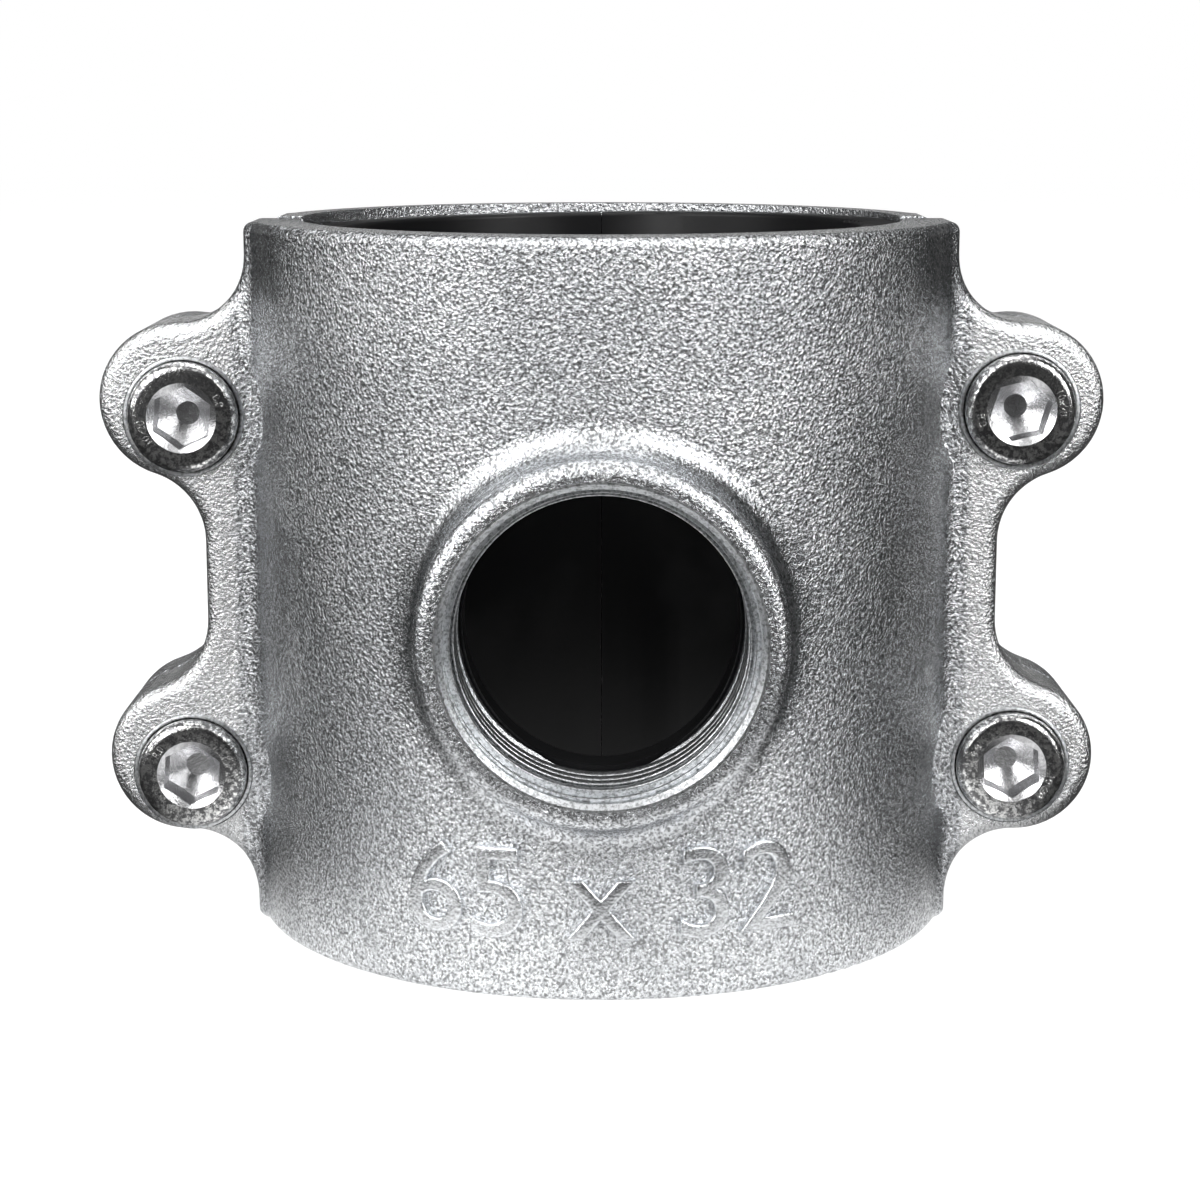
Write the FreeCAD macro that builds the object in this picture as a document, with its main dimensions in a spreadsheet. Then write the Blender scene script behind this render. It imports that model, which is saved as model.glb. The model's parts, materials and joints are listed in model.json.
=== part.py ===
import FreeCAD, Part
import math
import os

import Sketcher

# A two-part pipe clamp with a threaded side outlet. The run pipe stands along +Z on the origin and the
# outlet looks along -Y. Left is -X, as seen from the outlet side.

sizes = {
    # Run pipe, rubber sleeve and the two half shells
    "pipeDiameter": 76.1,
    "pipeClearance": 0.1,
    "sleeveWall": 5.55,
    "sleeveClearance": 0.3,
    "sleeveSlit": 0.4,
    "sleeveDrop": 0.5,
    "sleeveEdge": 0.6,
    "frontWall": 7.7,
    "rearWall": 5.0,
    "shellHeight": 102.8,
    "rearRimRise": 0.2,
    "flangeGap": 1.2,
    # Bolting flanges with their lugs, which reach out from the front wall
    "frontFlange": 12.4,
    "rearFlange": 10.0,
    "flangeRoot": 3.0,
    "endTrim": 0.6,
    "stripBeyondWall": 6.1,
    "lugBeyondWall": 9.7,
    "lugRadius": 11.25,
    "lugPitch": 52.75,
    "lugMiddle": 50.8,
    "lugShoulder": 10.0,
    "lugNeck": 10.4,
    "lugEdge": 2.2,
    "rimEdge": 1.3,
    "cutMargin": 3.0,
    # Screwed outlet
    "outletHeight": 50.0,
    "outletBeyondWall": 5.6,
    "outletDiameter": 49.6,
    "outletEdge": 2.0,
    "outletRoot": 4.5,
    "threadDiameter": 41.91,
    "coreDiameter": 38.95,
    "threadDepth": 12.7,
    "threadLeadIn": 0.7,
    "sealHoleDiameter": 38.0,
    # Socket head screws, their seats and their holes
    "screwBeyondWall": 8.6,
    "screwDrop": 1.1,
    "leftScrewDrop": 1.05,
    "screwDiameter": 9.9,
    "screwLength": 20.0,
    "screwTip": 1.0,
    "holeDiameter": 11.0,
    "tapClearance": 0.05,
    "headDiameter": 16.0,
    "headHeight": 10.0,
    "headEdge": 1.4,
    "neckFillet": 0.4,
    "socketWidth": 8.0,
    "socketDepth": 5.2,
    "socketCone": 1.6,
    "socketFloor": 3.4,
    "socketMouth": 10.1,
    "socketMouthDepth": 0.6,
    "seatDiameter": 16.7,
    "seatDepth": 7.8,
    "seatRimDiameter": 17.6,
    "seatRimDepth": 0.4,
    "reliefDiameter": 24.4,
}

closeTo = 1e-6
runsAlongY = 0.9
fullTurn = 360.0
hexagonSides = 6

document = FreeCAD.newDocument("PipeClampTee")
sheet = document.addObject("Spreadsheet::Sheet", "Sizes")
for row, (alias, number) in enumerate(sizes.items(), start=1):
    sheet.set(f"A{row}", alias)
    sheet.set(f"B{row}", str(number))
    sheet.setAlias(f"B{row}", alias)
document.recompute()

# Sizes that follow from the sheet
sleeveInner = "(Sizes.pipeDiameter / 2 + Sizes.pipeClearance)"
sleeveOuter = f"({sleeveInner} + Sizes.sleeveWall)"
shellBore = f"({sleeveOuter} + Sizes.sleeveClearance)"
frontOuter = f"({shellBore} + Sizes.frontWall)"
rearOuter = f"({shellBore} + Sizes.rearWall)"
rearHeight = "(Sizes.shellHeight + Sizes.rearRimRise)"
sleeveHeight = "(Sizes.shellHeight - Sizes.sleeveDrop)"
partingFace = "(Sizes.flangeGap / 2)"
frontFace = f"({partingFace} + Sizes.frontFlange)"
rearFace = f"({partingFace} + Sizes.rearFlange)"
seatFace = f"({frontFace} - Sizes.seatDepth)"
stripReach = f"({frontOuter} + Sizes.stripBeyondWall)"
lugReach = f"({frontOuter} + Sizes.lugBeyondWall)"
screwReach = f"({frontOuter} + Sizes.screwBeyondWall)"
outletReach = f"({frontOuter} + Sizes.outletBeyondWall)"
flangeReach = f"({lugReach} + Sizes.lugRadius + Sizes.cutMargin)"
trimReach = f"({flangeReach} + Sizes.cutMargin)"
trimTop = "(Sizes.shellHeight + Sizes.cutMargin)"
lowerLug = "(Sizes.lugMiddle - Sizes.lugPitch / 2)"
upperLug = "(Sizes.lugMiddle + Sizes.lugPitch / 2)"
lowerScrew = f"({lowerLug} - Sizes.screwDrop)"
upperScrew = f"({upperLug} - Sizes.screwDrop)"
tapRadius = "(Sizes.screwDiameter / 2 + Sizes.tapClearance)"

screws = {
    "upper_left_screw": (-1, upperScrew, -5.6),
    "upper_right_screw": (1, upperScrew, -16.7),
    "lower_left_screw": (-1, lowerScrew, -5.0),
    "lower_right_screw": (1, lowerScrew, 3.8),
}


def value(expression):
    """The number that an expression of the sheet's sizes stands for."""
    return float(sheet.evalExpression(expression.replace("Sizes.", "")))


def screwPlace(side, height):
    """Expressions for where a screw's axis crosses the front view."""
    if side < 0:
        height = f"({height} - Sizes.leftScrewDrop)"
    return f"({side} * {screwReach})", height


def newBody(label):
    body = document.addObject("PartDesign::Body", label)
    body.Label = label
    return body


def newSketch(body, name, role, offset=None):
    """A sketch on one of the body's origin planes, moved along the plane's normal."""
    sketch = body.newObject("Sketcher::SketchObject", name)
    plane = [feature for feature in body.Origin.OriginFeatures if feature.Role == role][0]
    sketch.AttachmentSupport = [(plane, "")]
    sketch.MapMode = "FlatFace"
    if offset:
        sketch.setExpression(".AttachmentOffset.Base.z", offset)
    return sketch


def bind(sketch, name, constraint, expression):
    index = sketch.addConstraint(constraint)
    sketch.renameConstraint(index, name)
    sketch.setExpression(f"Constraints.{name}", expression)


def pinPoint(sketch, name, geometry, place, across=None, up=None):
    """Holds one point of the geometry at a distance from the sketch's origin."""
    for kind, expression in (("DistanceX", across), ("DistanceY", up)):
        if expression:
            held = Sketcher.Constraint(kind, -1, 1, geometry, place, value(expression))
            bind(sketch, name + kind[-1], held, expression)


def drawCircle(sketch, name, radius, across, up):
    centre = FreeCAD.Vector(value(across), value(up), 0)
    circle = sketch.addGeometry(Part.Circle(centre, FreeCAD.Vector(0, 0, 1), value(radius)), False)
    bind(sketch, name + "Radius", Sketcher.Constraint("Radius", circle, value(radius)), radius)
    pinPoint(sketch, name, circle, 3, across, up)


def line(start, end):
    return {"kind": "line", "start": start, "end": end}


def arc(centre, radius, begin, finish):
    """An arc from one angle to another, in degrees, either way round."""
    ends = []
    for angle in (begin, finish):
        turn = math.radians(angle)
        ends.append((centre[0] + radius * math.cos(turn), centre[1] + radius * math.sin(turn)))
    return {"kind": "arc", "centre": centre, "radius": radius, "angles": (begin, finish),
            "start": ends[0], "end": ends[1]}


def heading(piece, atEnd):
    """The direction of travel at one end of a piece, as an angle in radians."""
    if piece["kind"] == "line":
        return math.atan2(piece["end"][1] - piece["start"][1], piece["end"][0] - piece["start"][0])
    begin, finish = piece["angles"]
    quarter = math.copysign(math.pi / 2, finish - begin)
    return math.radians(finish if atEnd else begin) + quarter


def runsBackward(piece):
    """Whether an arc is travelled against its own sense, from its second point to its first."""
    return piece["kind"] == "arc" and piece["angles"][1] < piece["angles"][0]


def drawLoop(sketch, pieces, level=True):
    """Draws a closed chain: ends meet, smooth joints are tangent and, where asked, level and upright lines
    are held so."""
    numbers = []
    for piece in pieces:
        if piece["kind"] == "line":
            shape = Part.LineSegment(FreeCAD.Vector(*piece["start"], 0), FreeCAD.Vector(*piece["end"], 0))
        else:
            circle = Part.Circle(FreeCAD.Vector(*piece["centre"], 0), FreeCAD.Vector(0, 0, 1), piece["radius"])
            low, high = sorted(math.radians(angle) for angle in piece["angles"])
            shape = Part.ArcOfCircle(circle, low, high)
        numbers.append(sketch.addGeometry(shape, False))
    for place, piece in enumerate(pieces):
        following = pieces[(place + 1) % len(pieces)]
        nextNumber = numbers[(place + 1) % len(pieces)]
        leavesBy = 1 if runsBackward(piece) else 2
        meetsAt = 2 if runsBackward(following) else 1
        bend = math.cos(heading(piece, True) - heading(following, False))
        kind = "Tangent" if 1 - bend < closeTo else "Coincident"
        sketch.addConstraint(Sketcher.Constraint(kind, numbers[place], leavesBy, nextNumber, meetsAt))
        if piece["kind"] == "line" and level:
            across = abs(piece["end"][0] - piece["start"][0])
            up = abs(piece["end"][1] - piece["start"][1])
            if up < closeTo:
                sketch.addConstraint(Sketcher.Constraint("Horizontal", numbers[place]))
            elif across < closeTo:
                sketch.addConstraint(Sketcher.Constraint("Vertical", numbers[place]))
    return numbers


def finishFeature(body, feature, removes=False):
    """Recomputes and makes sure that the feature changed the solid the way it should."""
    before = body.Tip.BaseFeature.Shape.Volume if body.Tip.BaseFeature else 0.0
    document.recompute()
    after = feature.Shape.Volume
    if (removes and after >= before) or (not removes and after <= before):
        raise RuntimeError(f"{body.Label}: {feature.Label} changed the volume from {before} to {after}")
    return feature


def pad(body, sketch, name, length, reverse=False):
    feature = body.newObject("PartDesign::Pad", name)
    feature.Profile = sketch
    feature.setExpression("Length", length)
    feature.Reversed = reverse
    return finishFeature(body, feature)


def pocketThrough(body, sketch, name, reverse=False, bothWays=False):
    feature = body.newObject("PartDesign::Pocket", name)
    feature.Profile = sketch
    feature.Type = "ThroughAll"
    feature.Reversed = reverse
    if bothWays:
        feature.SideType = "Symmetric"
    return finishFeature(body, feature, removes=True)


def dress(body, kind, name, edges, sizeName, expression):
    """A fillet or chamfer on the chosen edges of the body's last feature."""
    base = body.Tip
    feature = body.newObject(kind, name)
    feature.Base = (base, edges)
    feature.setExpression(sizeName, expression)
    document.recompute()
    return feature


def edgesWhere(shape, test):
    """Names of the edges that pass a test of the edge and its middle point."""
    names = []
    for number, edge in enumerate(shape.Edges, start=1):
        middle = edge.valueAt((edge.FirstParameter + edge.LastParameter) / 2)
        if test(edge, middle):
            names.append(f"Edge{number}")
    return names


def turnedSketch(body, name, axisHeight, corners):
    """A profile on the YZ plane: each corner is held along Y and out from an axis at the given height."""
    sketch = newSketch(body, name, "YZ_Plane")
    places = [(value(along), value(axisHeight) + value(out)) for label, along, out in corners]
    numbers = drawLoop(sketch, [line(place, places[(number + 1) % len(places)])
                                for number, place in enumerate(places)], level=False)
    for number, (label, along, out) in zip(numbers, corners):
        pinPoint(sketch, label, number, 1, along, f"({axisHeight} + {out})")
    centreLine = Part.LineSegment(FreeCAD.Vector(*places[0], 0), FreeCAD.Vector(*places[-1], 0))
    axis = sketch.addGeometry(centreLine, True)
    sketch.addConstraint(Sketcher.Constraint("Coincident", axis, 1, numbers[0], 1))
    sketch.addConstraint(Sketcher.Constraint("Coincident", axis, 2, numbers[-1], 1))
    return sketch


def turn(body, sketch, kind, name):
    """Turns a profile a full circle about its construction line."""
    feature = body.newObject(kind, name)
    feature.Profile = sketch
    feature.ReferenceAxis = (sketch, ["Axis0"])
    feature.Angle = fullTurn
    return finishFeature(body, feature, removes=kind.endswith("Groove"))


def drawHexagon(sketch, width):
    """A regular hexagon about the origin with a corner straight up."""
    across = value(width)
    corner = across / math.sqrt(3)
    angles = [math.pi / 2 + 2 * math.pi * number / hexagonSides for number in range(hexagonSides)]
    places = [(corner * math.cos(angle), corner * math.sin(angle)) for angle in angles]
    numbers = drawLoop(sketch, [line(place, places[(number + 1) % hexagonSides])
                                for number, place in enumerate(places)], level=False)
    for number, angle in zip(numbers, angles):
        size = f"({width} / sqrt(3))"
        pinPoint(sketch, f"corner{number}", number, 1, f"({size} * {math.cos(angle):.9f})",
                 f"({size} * {math.sin(angle):.9f})")


def drawSection(sketch, side, outer, face):
    """Half shell with flanges on both sides, seen along the pipe: the outer arc runs into each flange
    through a root fillet."""
    radius, root, height = value(outer), value("Sizes.flangeRoot"), value(face)
    parting, reach = value(partingFace), value(flangeReach)
    rootUp = height + root
    rootAcross = math.sqrt((radius + root) ** 2 - rootUp ** 2)
    lean = math.degrees(math.atan2(rootUp, rootAcross))
    numbers = drawLoop(sketch, [
        arc((0, 0), radius, side * lean, side * (180 - lean)),
        arc((-rootAcross, side * rootUp), root, -side * lean, -side * 90),
        line((-rootAcross, side * height), (-reach, side * height)),
        line((-reach, side * height), (-reach, side * parting)),
        line((-reach, side * parting), (reach, side * parting)),
        line((reach, side * parting), (reach, side * height)),
        line((reach, side * height), (rootAcross, side * height)),
        arc((rootAcross, side * rootUp), root, side * 270, side * (180 + lean)),
    ])
    sketch.addConstraint(Sketcher.Constraint("Coincident", numbers[0], 3, -1, 1))
    sketch.addConstraint(Sketcher.Constraint("Equal", numbers[1], numbers[7]))
    bind(sketch, "outer", Sketcher.Constraint("Radius", numbers[0], radius), outer)
    bind(sketch, "root", Sketcher.Constraint("Radius", numbers[1], root), "Sizes.flangeRoot")
    pinPoint(sketch, "leftFace", numbers[2], 2, f"(-{flangeReach})", f"({side} * {face})")
    pinPoint(sketch, "rightFace", numbers[6], 1, flangeReach, f"({side} * {face})")
    pinPoint(sketch, "parting", numbers[4], 1, up=f"({side} * {partingFace})")


def drawTrim(sketch, side, rootEdge):
    """What is cut off beside the flange, seen from the outlet: the strip between the lugs, the lugs, the
    necks between them and the shoulders that run into the wall."""
    edge, strip, reach = value(rootEdge), value(stripReach), value(lugReach)
    lug, neck, shoulder = value("Sizes.lugRadius"), value("Sizes.lugNeck"), value("Sizes.lugShoulder")
    low, high = value(lowerLug), value(upperLug)
    foot, top, far = value("(-Sizes.cutMargin)"), value(trimTop), value(trimReach)
    shoulderRise = math.sqrt((lug + shoulder) ** 2 - (reach - edge - shoulder) ** 2)
    neckRise = math.sqrt((lug + neck) ** 2 - (reach - strip - neck) ** 2)
    shoulderLean = math.degrees(math.atan2(shoulderRise, edge + shoulder - reach))
    neckLean = math.degrees(math.atan2(neckRise, strip + neck - reach))
    pieces = [
        line((edge, foot), (edge, low - shoulderRise)),
        arc((edge + shoulder, low - shoulderRise), shoulder, 180, 180 - shoulderLean),
        arc((reach, low), lug, -shoulderLean, neckLean),
        arc((strip + neck, low + neckRise), neck, 180 + neckLean, 180),
        line((strip, low + neckRise), (strip, high - neckRise)),
        arc((strip + neck, high - neckRise), neck, 180, 180 - neckLean),
        arc((reach, high), lug, -neckLean, shoulderLean),
        arc((edge + shoulder, high + shoulderRise), shoulder, 180 + shoulderLean, 180),
        line((edge, high + shoulderRise), (edge, top)),
        line((edge, top), (far, top)),
        line((far, top), (far, foot)),
        line((far, foot), (edge, foot)),
    ]
    if side < 0:
        for piece in pieces:
            for key in ("start", "end", "centre"):
                if key in piece:
                    piece[key] = (-piece[key][0], piece[key][1])
            if piece["kind"] == "arc":
                piece["angles"] = tuple(180 - angle for angle in piece["angles"])
    numbers = drawLoop(sketch, pieces)
    for first, second in ((1, 7), (2, 6), (3, 5)):
        sketch.addConstraint(Sketcher.Constraint("Equal", numbers[first], numbers[second]))
    bind(sketch, "shoulder", Sketcher.Constraint("Radius", numbers[1], shoulder), "Sizes.lugShoulder")
    bind(sketch, "lug", Sketcher.Constraint("Radius", numbers[2], lug), "Sizes.lugRadius")
    bind(sketch, "neck", Sketcher.Constraint("Radius", numbers[3], neck), "Sizes.lugNeck")
    pinPoint(sketch, "lowLug", numbers[2], 3, f"({side} * {lugReach})", lowerLug)
    pinPoint(sketch, "highLug", numbers[6], 3, f"({side} * {lugReach})", upperLug)
    pinPoint(sketch, "strip", numbers[4], 1, f"({side} * {stripReach})")
    pinPoint(sketch, "foot", numbers[0], 1, f"({side} * {rootEdge})", "(-Sizes.cutMargin)")
    pinPoint(sketch, "top", numbers[8], 2, f"({side} * {rootEdge})", trimTop)
    pinPoint(sketch, "far", numbers[10], 1, f"({side} * {trimReach})")


def castHalf(label, side, outer, face, height):
    """The outside of one half shell, as cast: section, lugs and rounded edges, before it is bored."""
    body = newBody(label)
    section = newSketch(body, label + "Section", "XY_Plane")
    drawSection(section, side, outer, face)
    pad(body, section, label + "Blank", height)
    for hand, name in ((-1, "Left"), (1, "Right")):
        trim = newSketch(body, label + name + "Outline", "XZ_Plane")
        drawTrim(trim, hand, f"({outer} - Sizes.endTrim)")
        pocketThrough(body, trim, label + name + "Trim", bothWays=True)
    return body


def roundFlanges(body, side, outer, height):
    """Rounds the cast edge all along each flange's outline."""
    beside = value(outer) - value("Sizes.endTrim") - closeTo

    def onOutline(edge, middle):
        acrossFace = abs(edge.tangentAt(edge.FirstParameter).y) < runsAlongY
        betweenEnds = closeTo < middle.z < value(height) - closeTo
        offParting = side * middle.y > value(partingFace) + closeTo
        return acrossFace and betweenEnds and offParting and abs(middle.x) > beside

    dress(body, "PartDesign::Fillet", body.Label + "FlangeEdge", edgesWhere(body.Tip.Shape, onOutline),
          "Radius", "Sizes.lugEdge")


def roundRims(body, side, height):
    """Rounds the outer edge of both end faces."""

    def onRim(edge, middle):
        level = abs(edge.tangentAt(edge.FirstParameter).z) < closeTo
        atEnd = min(abs(middle.z), abs(middle.z - value(height))) < closeTo
        return level and atEnd and side * middle.y > value(partingFace) + closeTo

    dress(body, "PartDesign::Fillet", body.Label + "RimEdge", edgesWhere(body.Tip.Shape, onRim),
          "Radius", "Sizes.rimEdge")


def boreShell(body):
    """The seat of the rubber sleeve."""
    bore = newSketch(body, body.Label + "BoreCircle", "XY_Plane")
    drawCircle(bore, "bore", shellBore, "0", "0")
    pocketThrough(body, bore, body.Label + "Bore", reverse=True)


def drillScrewHoles(body, name, radius, offset=None, bothWays=False):
    """One round pocket on the axis of each screw."""
    holes = newSketch(body, body.Label + name + "Circles", "XZ_Plane", offset)
    for label, (side, height, turn) in screws.items():
        across, up = screwPlace(side, height)
        drawCircle(holes, label.replace("_", ""), radius, across, up)
    pocketThrough(body, holes, body.Label + name, reverse=True, bothWays=bothWays)


def boreOutlet(body):
    """The outlet's bore: a lead-in, the threaded length at the thread's major diameter, its run-out and
    the core hole beyond, turned about the outlet's axis."""
    major, core = "(Sizes.threadDiameter / 2)", "(Sizes.coreDiameter / 2)"
    mouth = f"(-{outletReach})"
    threadEnd = f"(Sizes.threadDepth - {outletReach})"
    runOut = f"({threadEnd} + {major} - {core})"
    sketch = turnedSketch(body, "OutletBoreProfile", "Sizes.outletHeight", [
        ("Inner", "0", "0"),
        ("InnerWall", "0", core),
        ("RunOut", runOut, core),
        ("ThreadEnd", threadEnd, major),
        ("LeadIn", f"({mouth} + Sizes.threadLeadIn)", major),
        ("Mouth", mouth, f"({major} + Sizes.threadLeadIn)"),
        ("MouthAxis", mouth, "0"),
    ])
    turn(body, sketch, "PartDesign::Groove", "OutletBore")


def buildFrontShell():
    body = castHalf("front_shell", -1, frontOuter, frontFace, "Sizes.shellHeight")
    roundFlanges(body, -1, frontOuter, "Sizes.shellHeight")
    roundRims(body, -1, "Sizes.shellHeight")
    spout = newSketch(body, "OutletCircle", "XZ_Plane", partingFace)
    drawCircle(spout, "spout", "(Sizes.outletDiameter / 2)", "0", "Sizes.outletHeight")
    pad(body, spout, "Outlet", f"({outletReach} - {partingFace})")
    mouth = -value(outletReach)
    wall = value(frontOuter)
    height, radius = value("Sizes.outletHeight"), value("Sizes.outletDiameter") / 2
    root = edgesWhere(body.Tip.Shape, lambda edge, middle: (
        abs(math.hypot(middle.x, middle.y) - wall) < closeTo
        and abs(math.hypot(middle.x, middle.z - height) - radius) < closeTo))
    dress(body, "PartDesign::Fillet", "OutletRoot", root, "Radius", "Sizes.outletRoot")
    lip = edgesWhere(body.Tip.Shape, lambda edge, middle: abs(middle.y - mouth) < closeTo)
    dress(body, "PartDesign::Fillet", "OutletEdge", lip, "Radius", "Sizes.outletEdge")
    boreShell(body)
    boreOutlet(body)
    drillScrewHoles(body, "Relief", "(Sizes.reliefDiameter / 2)", frontFace)
    drillScrewHoles(body, "SeatRim", "(Sizes.seatRimDiameter / 2)", f"({frontFace} - Sizes.seatRimDepth)")
    drillScrewHoles(body, "Seat", "(Sizes.seatDiameter / 2)", seatFace)
    drillScrewHoles(body, "Hole", "(Sizes.holeDiameter / 2)")
    return body


def buildRearShell():
    body = castHalf("rear_shell", 1, rearOuter, rearFace, rearHeight)
    roundFlanges(body, 1, rearOuter, rearHeight)
    roundRims(body, 1, rearHeight)
    boreShell(body)
    drillScrewHoles(body, "TappedHole", tapRadius, bothWays=True)
    return body


def buildSleeve():
    """The rubber sleeve: a tube with a hole for the outlet, slit at the back so that it opens."""
    body = newBody("sealing_sleeve")
    ring = newSketch(body, "SleeveRing", "XY_Plane")
    drawCircle(ring, "outside", sleeveOuter, "0", "0")
    drawCircle(ring, "inside", sleeveInner, "0", "0")
    pad(body, ring, "SleeveTube", sleeveHeight)
    ends = edgesWhere(body.Tip.Shape, lambda edge, middle: abs(edge.tangentAt(edge.FirstParameter).z) < closeTo)
    dress(body, "PartDesign::Fillet", "SleeveEdges", ends, "Radius", "Sizes.sleeveEdge")
    hole = newSketch(body, "SealHoleCircle", "XZ_Plane")
    drawCircle(hole, "seal", "(Sizes.sealHoleDiameter / 2)", "0", "Sizes.outletHeight")
    pocketThrough(body, hole, "SealHole", reverse=True)
    slit = newSketch(body, "SlitOutline", "XY_Plane")
    inside, outside = f"({sleeveInner} - Sizes.cutMargin)", f"({sleeveOuter} + Sizes.cutMargin)"
    half, near, far = value("Sizes.sleeveSlit") / 2, value(inside), value(outside)
    numbers = drawLoop(slit, [
        line((-half, near), (half, near)),
        line((half, near), (half, far)),
        line((half, far), (-half, far)),
        line((-half, far), (-half, near)),
    ])
    pinPoint(slit, "near", numbers[0], 1, "(-Sizes.sleeveSlit / 2)", inside)
    pinPoint(slit, "far", numbers[1], 2, "(Sizes.sleeveSlit / 2)", outside)
    pocketThrough(body, slit, "Slit", reverse=True)
    return body


def buildScrew(label, side, height, twist):
    """A socket head screw along Y: its head looks along -Y and its seat is at the body's own origin."""
    body = newBody(label)
    head, shank = "(Sizes.headDiameter / 2)", "(Sizes.screwDiameter / 2)"
    face = "(-Sizes.headHeight)"
    profile = turnedSketch(body, label + "Profile", "0", [
        ("Face", face, "0"),
        ("FaceRim", face, head),
        ("HeadRim", "0", head),
        ("Neck", "0", shank),
        ("TipRim", "(Sizes.screwLength - Sizes.screwTip)", shank),
        ("Tip", "Sizes.screwLength", f"({shank} - Sizes.screwTip)"),
        ("TipAxis", "Sizes.screwLength", "0"),
    ])
    turn(body, profile, "PartDesign::Revolution", label + "Turned")
    rim = edgesWhere(body.Tip.Shape, lambda edge, middle: abs(middle.y - value(face)) < closeTo)
    dress(body, "PartDesign::Fillet", label + "HeadEdge", rim, "Radius", "Sizes.headEdge")
    neck = edgesWhere(body.Tip.Shape, lambda edge, middle: abs(middle.y) < closeTo
                      and abs(math.hypot(middle.x, middle.z) - value(shank)) < closeTo)
    dress(body, "PartDesign::Fillet", label + "NeckFillet", neck, "Radius", "Sizes.neckFillet")
    hexagon = newSketch(body, label + "Hexagon", "XZ_Plane", "Sizes.headHeight")
    drawHexagon(hexagon, "Sizes.socketWidth")
    socket = body.newObject("PartDesign::Pocket", label + "Socket")
    socket.Profile = hexagon
    socket.setExpression("Length", "Sizes.socketDepth")
    finishFeature(body, socket, removes=True)
    inner, mouth = "(Sizes.socketWidth / 2)", "(Sizes.socketMouth / 2)"
    bottom = "(Sizes.socketDepth - Sizes.headHeight)"
    recess = turnedSketch(body, label + "RecessProfile", "0", [
        ("Face", face, "0"),
        ("Mouth", face, mouth),
        ("MouthEnd", f"({face} + Sizes.socketMouthDepth)", inner),
        ("Bottom", bottom, inner),
        ("FloorRim", f"({bottom} + Sizes.socketCone)", "(Sizes.socketFloor / 2)"),
        ("Floor", f"({bottom} + Sizes.socketCone)", "0"),
    ])
    turn(body, recess, "PartDesign::Groove", label + "Recess")
    across, up = screwPlace(side, height)
    body.setExpression(".Placement.Base.x", across)
    body.setExpression(".Placement.Base.y", f"(-{seatFace})")
    body.setExpression(".Placement.Base.z", up)
    body.Placement.Rotation = FreeCAD.Rotation(FreeCAD.Vector(0, -1, 0), twist)
    return body


bodies = [buildFrontShell(), buildRearShell(), buildSleeve()]
for label, (side, height, twist) in screws.items():
    bodies.append(buildScrew(label, side, height, twist))
document.recompute()

for item in document.Objects:
    if "Invalid" in item.State or "Error" in item.State:
        raise RuntimeError(f"{item.Label} is in state {item.State}")
for body in bodies:
    if body.Shape.isNull() or not body.Shape.isValid() or len(body.Shape.Solids) != 1:
        raise RuntimeError(f"{body.Label} is not one valid solid")
    print(body.Label, round(body.Shape.Volume, 1), body.Shape.BoundBox)

os.makedirs("parts", exist_ok=True)
for body in bodies:
    body.Shape.exportStep(f"parts/{body.Label}.step")
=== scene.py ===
import json
import math

import bmesh
import bpy
from mathutils import Matrix, Vector


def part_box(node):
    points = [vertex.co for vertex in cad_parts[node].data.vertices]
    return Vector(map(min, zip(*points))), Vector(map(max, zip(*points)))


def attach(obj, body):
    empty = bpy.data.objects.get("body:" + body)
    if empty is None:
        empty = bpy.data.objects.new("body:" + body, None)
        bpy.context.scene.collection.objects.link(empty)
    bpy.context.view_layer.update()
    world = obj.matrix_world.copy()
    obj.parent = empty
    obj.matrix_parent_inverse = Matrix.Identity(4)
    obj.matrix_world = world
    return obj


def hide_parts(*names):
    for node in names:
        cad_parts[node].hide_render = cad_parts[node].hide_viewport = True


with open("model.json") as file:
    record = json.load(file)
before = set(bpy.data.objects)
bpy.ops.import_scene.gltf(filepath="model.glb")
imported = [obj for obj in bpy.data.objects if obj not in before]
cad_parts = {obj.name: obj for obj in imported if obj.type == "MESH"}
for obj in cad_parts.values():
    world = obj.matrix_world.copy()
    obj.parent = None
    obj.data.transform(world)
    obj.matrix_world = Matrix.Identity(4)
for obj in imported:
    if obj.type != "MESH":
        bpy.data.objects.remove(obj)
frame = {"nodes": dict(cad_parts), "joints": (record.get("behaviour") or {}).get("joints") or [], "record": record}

# A clamp-on pipe tee: two galvanised half shells round a rubber sleeve, drawn together by four socket
# head screws. The run pipe stands along Z, the outlet looks along -Y, and all sizes are in metres.
mm = 0.001
mergeDistance = 0.001 * mm
nodes = frame["nodes"]
mounts = {mount["name"]: mount for mount in frame["record"]["mounts"]}
joints = {joint["name"]: joint for joint in frame["joints"]}
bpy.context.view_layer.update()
print("frame loaded:", len(nodes), "nodes")

# Places and sizes that the frame gives
outletPlace = Vector(mounts["outlet_thread"]["pos_m"])
outletRadius = mounts["outlet_thread"]["dims"]["r_mm"] * mm
outletLength = mounts["outlet_thread"]["dims"]["length_mm"] * mm
screwPlaces = {name[:-len("_turn")]: Vector(joint["pos_m"]) for name, joint in joints.items()
               if name.endswith("_turn")}


# Camera, as the photograph was taken: a long lens, a little above the outlet
camera = {"place": (0.0, -0.404, 0.1227), "downDegrees": 10.8, "lens": 81.8, "sensor": 36.0,
          "shiftX": -0.00125, "nearest": 0.01, "farthest": 20.0}


def makeCamera():
    data = bpy.data.cameras.new("camera")
    data.lens = camera["lens"]
    data.sensor_width = camera["sensor"]
    data.shift_x = camera["shiftX"]
    data.clip_start = camera["nearest"]
    data.clip_end = camera["farthest"]
    view = addObject("camera", data)
    view.location = camera["place"]
    view.rotation_euler = (math.radians(90 - camera["downDegrees"]), 0, 0)
    bpy.context.scene.camera = view
    bpy.context.scene.view_settings.view_transform = "Standard"


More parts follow.
